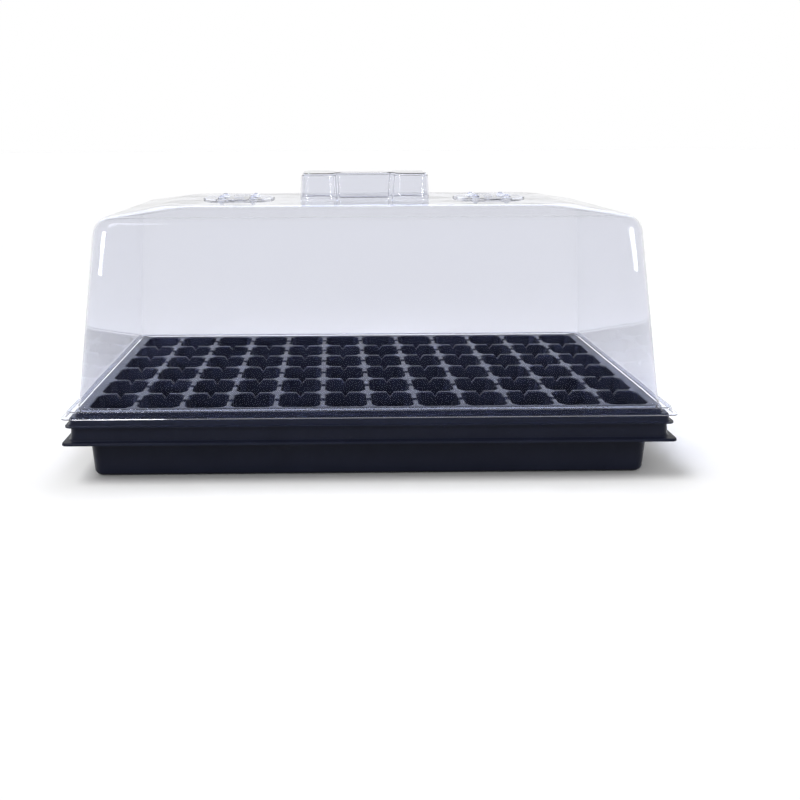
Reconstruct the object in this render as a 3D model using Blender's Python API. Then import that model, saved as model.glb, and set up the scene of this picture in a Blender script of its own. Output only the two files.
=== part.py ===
"""Seed-starting set: a water tray, a 72-cell insert and a clear humidity dome with two vent dials.

Metres, +Z up. The origin is at the middle of the underside of the water tray.
The long side of the set runs along X.
"""

import math

import bmesh
import bpy

MM = 0.001

# Fits shared by every piece
GAP = 0.3 * MM  # what two pieces at rest keep between them
BLACK_SHEET = 1.0 * MM  # formed wall of the cell tray
BASE_SHEET = 1.2 * MM  # formed wall of the water tray
CLEAR_SHEET = 0.8 * MM  # formed wall of the dome

# Overall size, with the cells' number and pitch
FLANGE_REACH_X = 10.5 * MM  # flanges of dome and water tray beyond the top of the rim, at the ends
FLANGE_REACH_Y = 9.0 * MM  # the same along the sides
DOME_RISE = 175.5 * MM  # from the rim's top to the flat of the roof

# Cells
COLUMNS = 12
ROWS = 6
PITCH = 42.0 * MM
CELL_DEPTH = 62.0 * MM
WALL_TOP = 5.0 * MM  # top of the wall between two mouths
MOUTH_CUT = 5.0 * MM  # corner cut of the mouth
CELL_TAPER = 4.5 * MM  # how much each wall leans in from mouth to floor
FLOOR_CUT = 6.0 * MM
DRAIN = 10.0 * MM  # drain hole across the flats

# Rim of the cell tray: a flat band, a face, a ledge, a lower face and a lip
RIM_BAND_X = 7.5 * MM  # flat border outside the cells, at the ends
RIM_BAND_Y = 5.0 * MM  # the same along the sides
UPPER_FACE = 5.5 * MM  # height of the upper face
LEDGE = 4.3 * MM  # ledge under the upper face
CELL_RIM_DEPTH = 12.0 * MM  # top face to lip
CELL_LIP = 2.6 * MM  # lip that turns out at the foot of the rim
RIM_CORNER = 7.0 * MM
RIM_SLANT = 0.5 * MM

# Water tray
BASE_RIM_DEPTH = 25.0 * MM  # top of its rim to the top of its flange
BASE_FLANGE = 5.2 * MM  # width of its flange
BASE_LIP = 2.2 * MM  # height of the flange's turned edge
BASE_CORNER = 9.0 * MM
BASE_FLOOR_CORNER = 10.0 * MM
BASE_WALL_GAP = 1.0 * MM  # side room between the outer cells and its wall
FLANGE_CORNER = 6.0 * MM

# Dome
DOME_SKIRT = 5.6 * MM  # height of the skirt that steps over the tray's rim
DOME_SEAT = 1.0 * MM  # how far the dome's seat lies over the tray's rim band
DOME_DRAFT = 0.072  # how much each wall leans in, per unit of height
SHOULDER = 16.0 * MM  # radius between wall and roof
SHOULDER_STEPS = 4
ROOF_SLOPE = 7.5 * MM  # height of the sloping border of the roof
ROOF_SLOPE_X = 43.0 * MM  # its width along the long side
ROOF_SLOPE_Y = 18.0 * MM
DOME_CORNER = 14.0 * MM
DOME_TOP_CORNER = 26.0 * MM

# Handle, formed in the roof as two round grips joined by a waist
HANDLE_LENGTH = 128.0 * MM
HANDLE_DEPTH = 72.0 * MM
HANDLE_WAIST = 32.0 * MM
HANDLE_LOBE = 37.0 * MM  # length of each end
HANDLE_RISE = 27.0 * MM
HANDLE_DRAFT = 1.5 * MM
HANDLE_CORNER = 11.0 * MM
HANDLE_TOP_ROUND = 2.0 * MM

# Vents
VENT_GAP = 27.0 * MM  # between the handle's end and a dial
DIAL_RADIUS = 36.0 * MM
DIAL_SHEET = 1.5 * MM
DIAL_BORDER = 3.5 * MM  # of the dial, outside its slots
SLOT_COUNT = 4
SLOT_WIDTH = 11.0 * MM
SLOT_ANGLE = math.radians(36)
SLOT_STEPS = 4
BUMP_INSET = 5.0 * MM  # from the middle of the slots in to the middle of the bumps
BUMP_SIZE = 4.5 * MM  # radius at the foot
BUMP_TIP = 2.4 * MM  # radius at the top
BUMP_RISE = 3.0 * MM
PIN_RADIUS = 3.0 * MM
PIN_CLEARANCE = 0.5 * MM
HEAD_RADIUS = 5.0 * MM
HEAD_HEIGHT = 1.6 * MM
DIAL_SIDES = 32
PIN_SIDES = 16
BUMP_SIDES = 12

CORNER_STEPS = 5

# Levels and sizes that follow
TRAY_FLOOR = BASE_SHEET
CELL_BOTTOM = TRAY_FLOOR + GAP
DECK = CELL_BOTTOM + CELL_DEPTH  # top face of the cell tray
GRID_X = COLUMNS * PITCH / 2
GRID_Y = ROWS * PITCH / 2
MOUTH = PITCH - WALL_TOP  # across the flats of a cell's mouth
CELL_FLOOR = MOUTH - 2 * CELL_TAPER  # across the flats of a cell's floor
FLANGE_X = GRID_X + RIM_BAND_X + FLANGE_REACH_X  # half length over the flanges
FLANGE_Y = GRID_Y + RIM_BAND_Y + FLANGE_REACH_Y  # half width over the flanges
BASE_TOP = DECK - BLACK_SHEET - GAP
ROOF = DECK + DOME_RISE
VENT_X = HANDLE_LENGTH / 2 + VENT_GAP + DIAL_RADIUS  # each vent's distance from the middle
SLOT_RADIUS = DIAL_RADIUS - DIAL_BORDER - SLOT_WIDTH / 2  # middle of a slot
BUMP_RADIUS = SLOT_RADIUS - BUMP_INSET


def clear_scene():
    """Remove every object of the scene."""
    for obj in list(bpy.data.objects):
        bpy.data.objects.remove(obj, do_unlink=True)


def material(name, colour, roughness, alpha=1.0):
    """Return a Principled material."""
    made = bpy.data.materials.new(name)
    made.use_nodes = True
    shader = made.node_tree.nodes["Principled BSDF"]
    shader.inputs["Base Color"].default_value = (*colour, 1.0)
    shader.inputs["Roughness"].default_value = roughness
    shader.inputs["Metallic"].default_value = 0.0
    shader.inputs["Alpha"].default_value = alpha
    return made


def add_object(name, mesh_source, finish):
    """Turn a bmesh into a named object of the scene."""
    bmesh.ops.recalc_face_normals(mesh_source, faces=mesh_source.faces)
    mesh = bpy.data.meshes.new(name)
    mesh_source.to_mesh(mesh)
    mesh_source.free()
    mesh.materials.append(finish)
    obj = bpy.data.objects.new(name, mesh)
    bpy.context.scene.collection.objects.link(obj)
    return obj


def hide_cutter(obj):
    """Keep a cutter out of the model."""
    obj.hide_render = True
    obj.display_type = "WIRE"


def add_boolean(obj, other, operation):
    """Add a live Boolean with another object, which becomes a helper."""
    modifier = obj.modifiers.new(other.name, "BOOLEAN")
    modifier.operation = operation
    modifier.object = other
    hide_cutter(other)


def rounded_rectangle(half_x, half_y, corner, level):
    """Return the points of a rounded rectangle, anticlockwise, as (x, y, z)."""
    points = []
    for quarter, (side_x, side_y) in enumerate(((1, 1), (-1, 1), (-1, -1), (1, -1))):
        centre_x = side_x * (half_x - corner)
        centre_y = side_y * (half_y - corner)
        for step in range(CORNER_STEPS + 1):
            angle = math.pi / 2 * (quarter + step / CORNER_STEPS)
            points.append(
                (
                    centre_x + corner * math.cos(angle),
                    centre_y + corner * math.sin(angle),
                    level,
                )
            )
    return points


def add_ring(mesh, points):
    """Add a closed ring of vertices and edges, and return its edges and vertices."""
    verts = [mesh.verts.new(point) for point in points]
    edges = [mesh.edges.new((verts[i - 1], verts[i])) for i in range(len(verts))]
    return edges, verts


def stack_rings(mesh, rings, close_ends=True):
    """Join rings of equally many points into a skin, with a face over each end."""
    made = [add_ring(mesh, ring) for ring in rings]
    for (_, below), (_, above) in zip(made, made[1:]):
        count = len(below)
        for i in range(count):
            mesh.faces.new((below[i - 1], below[i], above[i], above[i - 1]))
    if close_ends:
        mesh.faces.new(made[0][1][::-1])
        mesh.faces.new(made[-1][1])
    return [verts for _, verts in made]


def rim_levels():
    """Return the outer face of the cell tray's rim as (half_x, half_y, corner, level)."""
    edge_x = GRID_X + RIM_BAND_X
    edge_y = GRID_Y + RIM_BAND_Y
    ledge_level = DECK - UPPER_FACE
    foot_level = DECK - CELL_RIM_DEPTH
    grow = RIM_SLANT + LEDGE
    foot = grow + RIM_SLANT
    lip = foot + CELL_LIP
    return [
        (edge_x, edge_y, RIM_CORNER, DECK),
        (edge_x + RIM_SLANT, edge_y + RIM_SLANT, RIM_CORNER, ledge_level),
        (edge_x + grow, edge_y + grow, RIM_CORNER, ledge_level),
        (edge_x + foot, edge_y + foot, RIM_CORNER, foot_level),
        (edge_x + lip, edge_y + lip, RIM_CORNER, foot_level),
    ]


def inner_skin(levels, sheet):
    """Return the inner face of a rim that steps down and out, under its outer face."""
    top, upper, ledge, foot, lip = levels
    return [
        (lip[0], lip[1], lip[2], lip[3] - sheet),
        (foot[0] - sheet, foot[1] - sheet, foot[2] - sheet, foot[3] - sheet),
        (ledge[0] - sheet, ledge[1] - sheet, ledge[2] - sheet, ledge[3] - sheet),
        (upper[0] - sheet, upper[1] - sheet, upper[2] - sheet, upper[3] - sheet),
        (top[0] - sheet, top[1] - sheet, top[2] - sheet, top[3] - sheet),
    ]


def make_cell_rim(finish):
    """Make the rim that runs round the cells."""
    levels = rim_levels()
    inside = GRID_X + GAP, GRID_Y + GAP, GAP
    rings = [(*inside, DECK - BLACK_SHEET), (*inside, DECK)]
    rings += levels + inner_skin(levels, BLACK_SHEET)
    mesh = bmesh.new()
    loops = stack_rings(mesh, [rounded_rectangle(*ring) for ring in rings], False)
    first, last = loops[0], loops[-1]
    for i in range(len(first)):
        mesh.faces.new((last[i - 1], last[i], first[i], first[i - 1]))
    return add_object("cell_tray_rim", mesh, finish)


def octagon(centre_x, centre_y, across, cut, level):
    """Return a square with cut corners, anticlockwise from +X."""
    half = across / 2
    near = half - cut
    corners = (
        (half, -near),
        (half, near),
        (near, half),
        (-near, half),
        (-half, near),
        (-half, -near),
        (-near, -half),
        (near, -half),
    )
    return [(centre_x + x, centre_y + y, level) for x, y in corners]


def cell_square(centre_x, centre_y, half_x, half_y):
    """Return a cell's share of the deck, with a point facing each corner of its mouth."""
    near = MOUTH / 2 - MOUTH_CUT
    corners = (
        (half_x, -near),
        (half_x, near),
        (near, half_y),
        (-near, half_y),
        (-half_x, near),
        (-half_x, -near),
        (-near, -half_y),
        (near, -half_y),
    )
    return [(centre_x + x, centre_y + y, DECK) for x, y in corners]


def add_cell(mesh, centre_x, centre_y):
    """Add one cell: its share of the deck, its cup and the floor round its drain hole."""
    half_x = PITCH / 2 - GAP / 2
    half_y = PITCH / 2
    floor_level = CELL_BOTTOM + BLACK_SHEET
    rings = [
        octagon(centre_x, centre_y, DRAIN, DRAIN * FLOOR_CUT / CELL_FLOOR, floor_level),
        octagon(centre_x, centre_y, CELL_FLOOR, FLOOR_CUT, floor_level),
        octagon(centre_x, centre_y, MOUTH, MOUTH_CUT, DECK),
        cell_square(centre_x, centre_y, half_x, half_y),
    ]
    outer = stack_rings(mesh, rings, False)[-1]
    for corner, (side_x, side_y) in enumerate(((1, 1), (-1, 1), (-1, -1), (1, -1))):
        point = (centre_x + side_x * half_x, centre_y + side_y * half_y, DECK)
        tip = mesh.verts.new(point)
        mesh.faces.new((outer[2 * corner + 1], tip, outer[2 * corner + 2 if corner < 3 else 0]))


def make_cell_column(number, finish):
    """Make one column of cells across the tray."""
    mesh = bmesh.new()
    centre_x = (number - (COLUMNS - 1) / 2) * PITCH
    for row in range(ROWS):
        add_cell(mesh, centre_x, (row - (ROWS - 1) / 2) * PITCH)
    bmesh.ops.remove_doubles(mesh, verts=mesh.verts, dist=0.01 * MM)
    obj = add_object(f"cell_column_{number + 1:02d}", mesh, finish)
    sheet = obj.modifiers.new("sheet", "SOLIDIFY")
    sheet.thickness = BLACK_SHEET
    sheet.offset = -1.0
    sheet.use_even_offset = True
    return obj


def make_base_tray(finish):
    """Make the water tray: floor, walls and a rim that the cell tray's rim sits over."""
    top, upper, ledge = rim_levels()[:3]
    inset = BLACK_SHEET + GAP
    ledge_level = ledge[3] - inset
    flange_level = BASE_TOP - BASE_RIM_DEPTH
    wall_x = GRID_X - WALL_TOP / 2 + BLACK_SHEET + BASE_WALL_GAP
    wall_y = GRID_Y - WALL_TOP / 2 + BLACK_SHEET + BASE_WALL_GAP
    floor_x, floor_y = wall_x - CELL_TAPER, wall_y - CELL_TAPER
    apron_x, apron_y = FLANGE_X - BASE_FLANGE, FLANGE_Y - BASE_FLANGE
    sheet = BASE_SHEET
    inner = inset + sheet
    rings = [
        (floor_x, floor_y, BASE_FLOOR_CORNER, TRAY_FLOOR),
        (wall_x, wall_y, BASE_CORNER, BASE_TOP),
        (top[0] - inset, top[1] - inset, RIM_CORNER, BASE_TOP),
        (upper[0] - inset, upper[1] - inset, RIM_CORNER, ledge_level),
        (ledge[0] - inset, ledge[1] - inset, RIM_CORNER, ledge_level),
        (apron_x, apron_y, BASE_CORNER, flange_level),
        (FLANGE_X, FLANGE_Y, FLANGE_CORNER, flange_level),
        (FLANGE_X, FLANGE_Y, FLANGE_CORNER, flange_level - BASE_LIP),
        (FLANGE_X - sheet, FLANGE_Y - sheet, FLANGE_CORNER - sheet, flange_level - BASE_LIP),
        (FLANGE_X - sheet, FLANGE_Y - sheet, FLANGE_CORNER - sheet, flange_level - sheet),
        (apron_x - sheet, apron_y - sheet, BASE_CORNER - sheet, flange_level - sheet),
        (ledge[0] - inner, ledge[1] - inner, RIM_CORNER - sheet, ledge_level - sheet),
        (upper[0] - inner, upper[1] - inner, RIM_CORNER - sheet, ledge_level - sheet),
        (top[0] - inner, top[1] - inner, RIM_CORNER - sheet, BASE_TOP - sheet),
        (wall_x + sheet, wall_y + sheet, BASE_CORNER + sheet, BASE_TOP - sheet),
        (floor_x + sheet, floor_y + sheet, BASE_FLOOR_CORNER + sheet, TRAY_FLOOR - BASE_SHEET),
    ]
    mesh = bmesh.new()
    stack_rings(mesh, [rounded_rectangle(*ring) for ring in rings])
    return add_object("base_tray", mesh, finish)


def dome_seat():
    """Return the half length and half width of the dome's wall at its foot, outside."""
    edge_x, edge_y = rim_levels()[0][:2]
    return edge_x - DOME_SEAT + CLEAR_SHEET, edge_y - DOME_SEAT + CLEAR_SHEET


def dome_rings(sheet):
    """Return the dome's wall and roof, moved in by a sheet's thickness."""
    seat_x, seat_y = dome_seat()
    foot = DECK + GAP + CLEAR_SHEET
    arc_centre = ROOF - ROOF_SLOPE - SHOULDER
    lean = DOME_DRAFT * (arc_centre - foot)
    top_x, top_y = seat_x - lean, seat_y - lean
    rings = [(seat_x - sheet, seat_y - sheet, DOME_CORNER - sheet, foot - sheet)]
    for step in range(SHOULDER_STEPS + 1):
        angle = math.pi / 2 * step / SHOULDER_STEPS
        reach = (SHOULDER - sheet) * math.cos(angle) - SHOULDER
        rise = (SHOULDER - sheet) * math.sin(angle)
        corner = DOME_TOP_CORNER + reach / 2
        rings.append((top_x + reach, top_y + reach, corner, arc_centre + rise))
    rings.append(
        (
            top_x - SHOULDER - ROOF_SLOPE_X,
            top_y - SHOULDER - ROOF_SLOPE_Y,
            DOME_TOP_CORNER,
            ROOF - sheet,
        )
    )
    return rings


def dome_skirt(sheet, foot_drop):
    """Return the part of the dome below its seat, from the bottom up."""
    edge_x, edge_y = rim_levels()[3][:2]
    reach = CLEAR_SHEET + 2 * RIM_SLANT - sheet
    low_x, low_y = edge_x + reach, edge_y + reach
    seat_top = DECK + GAP + CLEAR_SHEET
    corner = RIM_CORNER + CLEAR_SHEET
    return [
        (low_x, low_y, corner - sheet, seat_top - DOME_SKIRT - foot_drop),
        (low_x - RIM_SLANT, low_y - RIM_SLANT, corner - sheet, seat_top - sheet),
    ]


def make_dome(finish):
    """Make the dome, with its vent slots and the hollow handle formed in its roof."""
    flange_top = DECK + GAP + CLEAR_SHEET - DOME_SKIRT
    outside = [
        (FLANGE_X, FLANGE_Y, FLANGE_CORNER, flange_top - CLEAR_SHEET),
        (FLANGE_X, FLANGE_Y, FLANGE_CORNER, flange_top),
    ]
    outside += dome_skirt(0.0, 0.0) + dome_rings(0.0)
    below = 4 * CLEAR_SHEET
    inside = dome_skirt(CLEAR_SHEET, below) + dome_rings(CLEAR_SHEET)
    shell = bmesh.new()
    stack_rings(shell, [rounded_rectangle(*ring) for ring in outside])
    dome = add_object("dome", shell, finish)
    hollow = bmesh.new()
    stack_rings(hollow, [rounded_rectangle(*ring) for ring in inside])
    add_boolean(dome, make_handle("handle_form", 0.0, finish), "UNION")
    add_boolean(dome, add_object("dome_hollow", hollow, finish), "DIFFERENCE")
    add_boolean(dome, make_handle("handle_hollow", CLEAR_SHEET, finish), "DIFFERENCE")
    add_boolean(dome, make_vent_cutter(finish), "DIFFERENCE")
    return dome


def dog_bone(shrink, level):
    """Return the outline of the handle, anticlockwise: two rounded ends and a waist."""
    half_length = HANDLE_LENGTH / 2 - shrink
    half_depth = HANDLE_DEPTH / 2 - shrink
    half_waist = HANDLE_WAIST / 2 - shrink
    neck = HANDLE_LENGTH / 2 - HANDLE_LOBE + shrink
    outer = HANDLE_CORNER - shrink
    quarter = []
    for step in range(CORNER_STEPS + 1):
        angle = math.pi / 2 * step / CORNER_STEPS
        x, y = outer * math.cos(angle), outer * math.sin(angle)
        quarter.append((half_length - outer + x, half_depth - outer + y))
    for step in range(CORNER_STEPS + 1):
        angle = math.pi / 2 * (1 + step / CORNER_STEPS)
        x, y = outer * math.cos(angle), outer * math.sin(angle)
        quarter.append((neck + outer + x, half_depth - outer + y))
    quarter.append((neck, half_waist))
    left = [(-x, y) for x, y in reversed(quarter)]
    low_left = [(-x, -y) for x, y in quarter]
    low_right = [(x, -y) for x, y in reversed(quarter)]
    return [(x, y, level) for x, y in quarter + left + low_left + low_right]


def make_handle(name, sheet, finish):
    """Make the handle's outside, or with a sheet's thickness its hollow."""
    top = ROOF + HANDLE_RISE - sheet
    foot = ROOF - CLEAR_SHEET / 2 if sheet == 0.0 else ROOF - 4 * CLEAR_SHEET
    lean = HANDLE_DRAFT * (HANDLE_RISE - HANDLE_TOP_ROUND) / HANDLE_RISE
    bend = HANDLE_TOP_ROUND * (1 - math.sqrt(0.5))
    rings = [
        dog_bone(sheet, foot),
        dog_bone(sheet, ROOF),
        dog_bone(sheet + lean, top - HANDLE_TOP_ROUND),
        dog_bone(sheet + lean + bend, top - bend),
        dog_bone(sheet + lean + HANDLE_TOP_ROUND, top),
    ]
    mesh = bmesh.new()
    stack_rings(mesh, rings)
    return add_object(name, mesh, finish)


def slot_outline(centre_x, turn, level):
    """Return one arc slot's outline about a vent's centre."""
    inner, outer = SLOT_RADIUS - SLOT_WIDTH / 2, SLOT_RADIUS + SLOT_WIDTH / 2
    points = []
    for radius, direction in ((outer, 1), (inner, -1)):
        for step in range(SLOT_STEPS + 1):
            angle = turn + direction * SLOT_ANGLE * (step / SLOT_STEPS - 0.5)
            points.append((centre_x + radius * math.cos(angle), radius * math.sin(angle), level))
    return points


def circle(centre_x, radius, sides, level):
    """Return a circle's points about a vent's centre."""
    turns = (2 * math.pi * i / sides for i in range(sides))
    return [(centre_x + radius * math.cos(a), radius * math.sin(a), level) for a in turns]


def add_slots(mesh, centre_x, bottom, top):
    """Add a block through each of one vent's slots."""
    for i in range(SLOT_COUNT):
        turn = 2 * math.pi * i / SLOT_COUNT
        stack_rings(mesh, [slot_outline(centre_x, turn, level) for level in (bottom, top)])


def make_vent_cutter(finish):
    """Make the cutter for the roof's slots and pin holes."""
    mesh = bmesh.new()
    bottom, top = ROOF - 3 * CLEAR_SHEET, ROOF + 2 * CLEAR_SHEET
    hole = PIN_RADIUS + PIN_CLEARANCE
    for centre_x in (-VENT_X, VENT_X):
        add_slots(mesh, centre_x, bottom, top)
        stack_rings(mesh, [circle(centre_x, hole, PIN_SIDES, level) for level in (bottom, top)])
    return add_object("vent_cutter", mesh, finish)


def add_bump(mesh, angle, level):
    """Add one finger bump of a dial, between two of its slots."""
    x, y = BUMP_RADIUS * math.cos(angle), BUMP_RADIUS * math.sin(angle)
    profile = (
        (BUMP_SIZE, level - DIAL_SHEET / 2),
        (BUMP_SIZE, level),
        (BUMP_TIP, level + BUMP_RISE),
    )
    rings = [circle(x, radius, BUMP_SIDES, height) for radius, height in profile]
    stack_rings(mesh, [[(px, py + y, pz) for px, py, pz in ring] for ring in rings])


def make_dial(name, centre_x, finish):
    """Make a vent dial: slotted disc, finger bumps and a pin with a head under the roof."""
    lower = ROOF + GAP
    upper = lower + DIAL_SHEET
    head_top = ROOF - CLEAR_SHEET - GAP
    rings = [
        circle(0.0, PIN_RADIUS, DIAL_SIDES, head_top - HEAD_HEIGHT),
        circle(0.0, HEAD_RADIUS, DIAL_SIDES, head_top),
        circle(0.0, PIN_RADIUS, DIAL_SIDES, head_top),
        circle(0.0, PIN_RADIUS, DIAL_SIDES, lower),
        circle(0.0, DIAL_RADIUS, DIAL_SIDES, lower),
        circle(0.0, DIAL_RADIUS, DIAL_SIDES, upper),
    ]
    mesh = bmesh.new()
    stack_rings(mesh, rings)
    dial = add_object(name, mesh, finish)
    bumps = bmesh.new()
    for i in range(SLOT_COUNT):
        add_bump(bumps, 2 * math.pi * (i + 0.5) / SLOT_COUNT, upper)
    slots = bmesh.new()
    add_slots(slots, 0.0, lower - GAP / 2, upper + GAP)
    for other, operation in (
        (add_object(name + "_bumps", bumps, finish), "UNION"),
        (add_object(name + "_slots", slots, finish), "DIFFERENCE"),
    ):
        add_boolean(dial, other, operation)
        other.location.x = centre_x
    dial.location.x = centre_x
    return dial


def shade_round(obj):
    """Shade the curved stretches smooth and leave the folds sharp."""
    obj.data.shade_smooth()
    obj.data.set_sharp_from_angle(angle=math.radians(35))


def main():
    """Build the set."""
    clear_scene()
    black = material("black_styrene", (0.012, 0.012, 0.016), 0.35)
    clear = material("clear_pet", (0.86, 0.88, 0.93), 0.06, 0.3)
    parts = [make_base_tray(black), make_cell_rim(black)]
    parts += [make_cell_column(number, black) for number in range(COLUMNS)]
    parts.append(make_dome(clear))
    parts.append(make_dial("vent_dial_left", -VENT_X, clear))
    parts.append(make_dial("vent_dial_right", VENT_X, clear))
    for part in parts:
        shade_round(part)


main()
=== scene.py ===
"""Seed-starting set: a water tray, a 72-cell insert and a clear humidity dome with two vent dials.

Metres, +Z up, long side along X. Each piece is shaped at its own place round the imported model. The
black trays and the dome are thin formed sheets, and the dials are solid mouldings.
"""

import logging
import math
from dataclasses import dataclass
from enum import Enum

import bmesh
import bpy
from bmesh.types import BMEdge, BMesh, BMFace, BMVert
from mathutils import Matrix, Vector

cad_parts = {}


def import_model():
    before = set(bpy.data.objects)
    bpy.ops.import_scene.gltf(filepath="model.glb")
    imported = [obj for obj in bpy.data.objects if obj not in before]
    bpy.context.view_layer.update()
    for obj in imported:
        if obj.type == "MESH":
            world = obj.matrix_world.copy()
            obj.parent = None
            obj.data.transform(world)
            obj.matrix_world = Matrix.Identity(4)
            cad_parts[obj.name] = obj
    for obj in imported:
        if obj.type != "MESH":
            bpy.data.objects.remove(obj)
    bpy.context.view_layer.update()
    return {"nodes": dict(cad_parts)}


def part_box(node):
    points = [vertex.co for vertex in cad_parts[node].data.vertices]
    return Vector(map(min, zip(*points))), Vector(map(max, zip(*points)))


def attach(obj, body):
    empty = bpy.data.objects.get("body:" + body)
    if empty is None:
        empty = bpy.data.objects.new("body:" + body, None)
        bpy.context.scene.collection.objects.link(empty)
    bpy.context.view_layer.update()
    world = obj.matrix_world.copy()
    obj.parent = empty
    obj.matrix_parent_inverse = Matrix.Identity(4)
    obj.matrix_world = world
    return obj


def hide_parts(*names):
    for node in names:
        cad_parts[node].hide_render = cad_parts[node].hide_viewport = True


LOG = logging.getLogger("seed_set")
MM = 0.001
CLOSE = 0.01 * MM  # points nearer than this are one point
SHARP_ANGLE = math.radians(40)  # sharper folds are shaded as edges
CORNER_ANGLE = math.radians(45)  # sharper turns of an outline are its corners
FLAT_ANGLE = math.radians(1)  # smaller folds count as flat
STEEP = 0.5  # a wall's normal points up by less than this
FOLD_STEPS = 3  # faces across a small rounding
FOLD_ROOM = 2  # flat that is kept beside a fold, in radii of its rounding
SRGB_KNEE, SRGB_SLOPE, SRGB_OFFSET, SRGB_POWER = 0.04045, 12.92, 0.055, 2.4


# ---- shared tools


def linear(colour: str) -> tuple[float, float, float, float]:
    """Turn an sRGB "#rrggbb" colour to linear red, green, blue and an alpha of 1."""
    channels = []
    for start in (1, 3, 5):
        value = int(colour[start : start + 2], 16) / 255
        bent = ((value + SRGB_OFFSET) / (1 + SRGB_OFFSET)) ** SRGB_POWER
        channels.append(bent if value > SRGB_KNEE else value / SRGB_SLOPE)
    return (*channels, 1.0)


def feed(node: bpy.types.Node, inputs: dict[str | int, object]) -> None:
    """Give each named input of a node its value, or the output socket that feeds it."""
    for name, value in inputs.items():
        if isinstance(value, bpy.types.NodeSocket):
            node.id_data.links.new(value, node.inputs[name])
        else:
            node.inputs[name].default_value = value


def add_node(
    tree: bpy.types.NodeTree, kind: str, inputs: dict[str | int, object], **settings: object
) -> bpy.types.Node:
    """Add a node of a kind with its inputs filled and its own properties set."""
    node = tree.nodes.new(kind)
    for name, value in settings.items():
        setattr(node, name, value)
    feed(node, inputs)
    return node


def noise(
    tree: bpy.types.NodeTree, spacing_mm: float, detail: float = 2.0, roughness: float = 0.5
) -> bpy.types.NodeSocket:
    """Add a noise texture that stays with the piece, and return its value, from 0 to 1.

    Args:
        tree: The node tree that it goes into.
        spacing_mm: Distance between its features.
        detail: Number of its finer layers.
        roughness: How strong the finer layers are.
    """
    place = add_node(tree, "ShaderNodeTexCoord", {}).outputs["Object"]
    scale = 1.0 / (spacing_mm * MM)
    values = {"Vector": place, "Scale": scale, "Detail": detail, "Roughness": roughness}
    return add_node(tree, "ShaderNodeTexNoise", values).outputs["Fac"]


def remap(
    value: bpy.types.NodeSocket,
    span: tuple[float, float],
    result: tuple[float, float],
    **settings: object,
) -> bpy.types.NodeSocket:
    """Map a span of values to a span of results, with the node's own properties set."""
    values = {"Value": value, 1: span[0], 2: span[1], 3: result[0], 4: result[1]}
    return add_node(value.id_data, "ShaderNodeMapRange", values, **settings).outputs[0]


def blend(share: bpy.types.NodeSocket, first: str, second: str) -> bpy.types.NodeSocket:
    """Mix two "#rrggbb" colours, by the share of the second one."""
    values = {0: share, 6: linear(first), 7: linear(second)}
    return add_node(share.id_data, "ShaderNodeMix", values, data_type="RGBA").outputs[2]


def bump(
    height: bpy.types.NodeSocket, depth_mm: float, over: bpy.types.NodeSocket | None = None
) -> bpy.types.NodeSocket:
    """Turn a height from 0 to 1 to the normal of a relief, which may lie over a coarser one."""
    values = {"Height": height, "Distance": depth_mm * MM}
    if over:
        values["Normal"] = over
    return add_node(height.id_data, "ShaderNodeBump", values).outputs["Normal"]


def new_material(name: str) -> tuple[bpy.types.Material, bpy.types.NodeTree, bpy.types.Node]:
    """Return a new node material, its tree and its main shader."""
    made = bpy.data.materials.new(name)
    made.use_nodes = True
    return made, made.node_tree, made.node_tree.nodes["Principled BSDF"]


def add_object(name: str, data: bpy.types.ID, place: Matrix | None = None) -> bpy.types.Object:
    """Add an object to the scene, at the origin if no place is given."""
    added = bpy.data.objects.new(name, data)
    if place is not None:
        added.matrix_world = place
    bpy.context.scene.collection.objects.link(added)
    return added


def verts_of(geometry: list) -> list[BMVert]:
    """Return the vertices among an operator's results."""
    return [item for item in geometry if isinstance(item, BMVert)]


def faces_of(geometry: list) -> list[BMFace]:
    """Return the faces among an operator's results."""
    return [item for item in geometry if isinstance(item, BMFace)]


def edges_among(verts: list[BMVert]) -> list[BMEdge]:
    """Return the edges that join two of these vertices, always in the same order."""
    own = set(verts)
    joining = (edge for vert in verts for edge in vert.link_edges if edge.other_vert(vert) in own)
    return list(dict.fromkeys(joining))


def all_of(mesh: BMesh) -> list:
    """Return every vertex, edge and face of a mesh."""
    return [*mesh.verts, *mesh.edges, *mesh.faces]


def absorb(mesh: BMesh, part: BMesh) -> None:
    """Move a part that was shaped on its own into a mesh, and free the part."""
    passing = bpy.data.meshes.new("passing")
    part.to_mesh(passing)
    part.free()
    mesh.from_mesh(passing)
    bpy.data.meshes.remove(passing)


def crease(mesh: BMesh, place: Vector, normal: Vector) -> None:
    """Split every face that a plane crosses along the plane."""
    bmesh.ops.bisect_plane(mesh, geom=all_of(mesh), plane_co=place, plane_no=normal)


def round_edges(
    mesh: BMesh, edges: list[BMEdge], radius: float, steps: int = FOLD_STEPS, affect: str = "EDGES"
) -> None:
    """Round a fold.

    Args:
        mesh: The mesh to change.
        edges: The fold's edges.
        radius: How far each side of the fold the rounding starts.
        steps: Number of faces across the rounding.
        affect: What is rounded, "EDGES" or "VERTICES".
    """
    form = {"offset_type": "OFFSET", "profile": 0.5, "affect": affect, "material": -1}
    bmesh.ops.bevel(mesh, geom=edges, offset=radius, segments=steps, **form)


def round_corners(mesh: BMesh, corners: list[BMVert], radius: float, steps: int) -> None:
    """Round corners of a flat outline, or cut them straight with 1 step."""
    round_edges(mesh, corners, radius, steps, affect="VERTICES")


def push_face(mesh: BMesh, face: BMFace) -> BMFace:
    """Put walls of no height round a face, and return the new face at their end."""
    pushed = faces_of(bmesh.ops.extrude_face_region(mesh, geom=[face])["geom"])[0]
    bmesh.ops.delete(mesh, geom=[face], context="FACES_ONLY")
    return pushed


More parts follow.
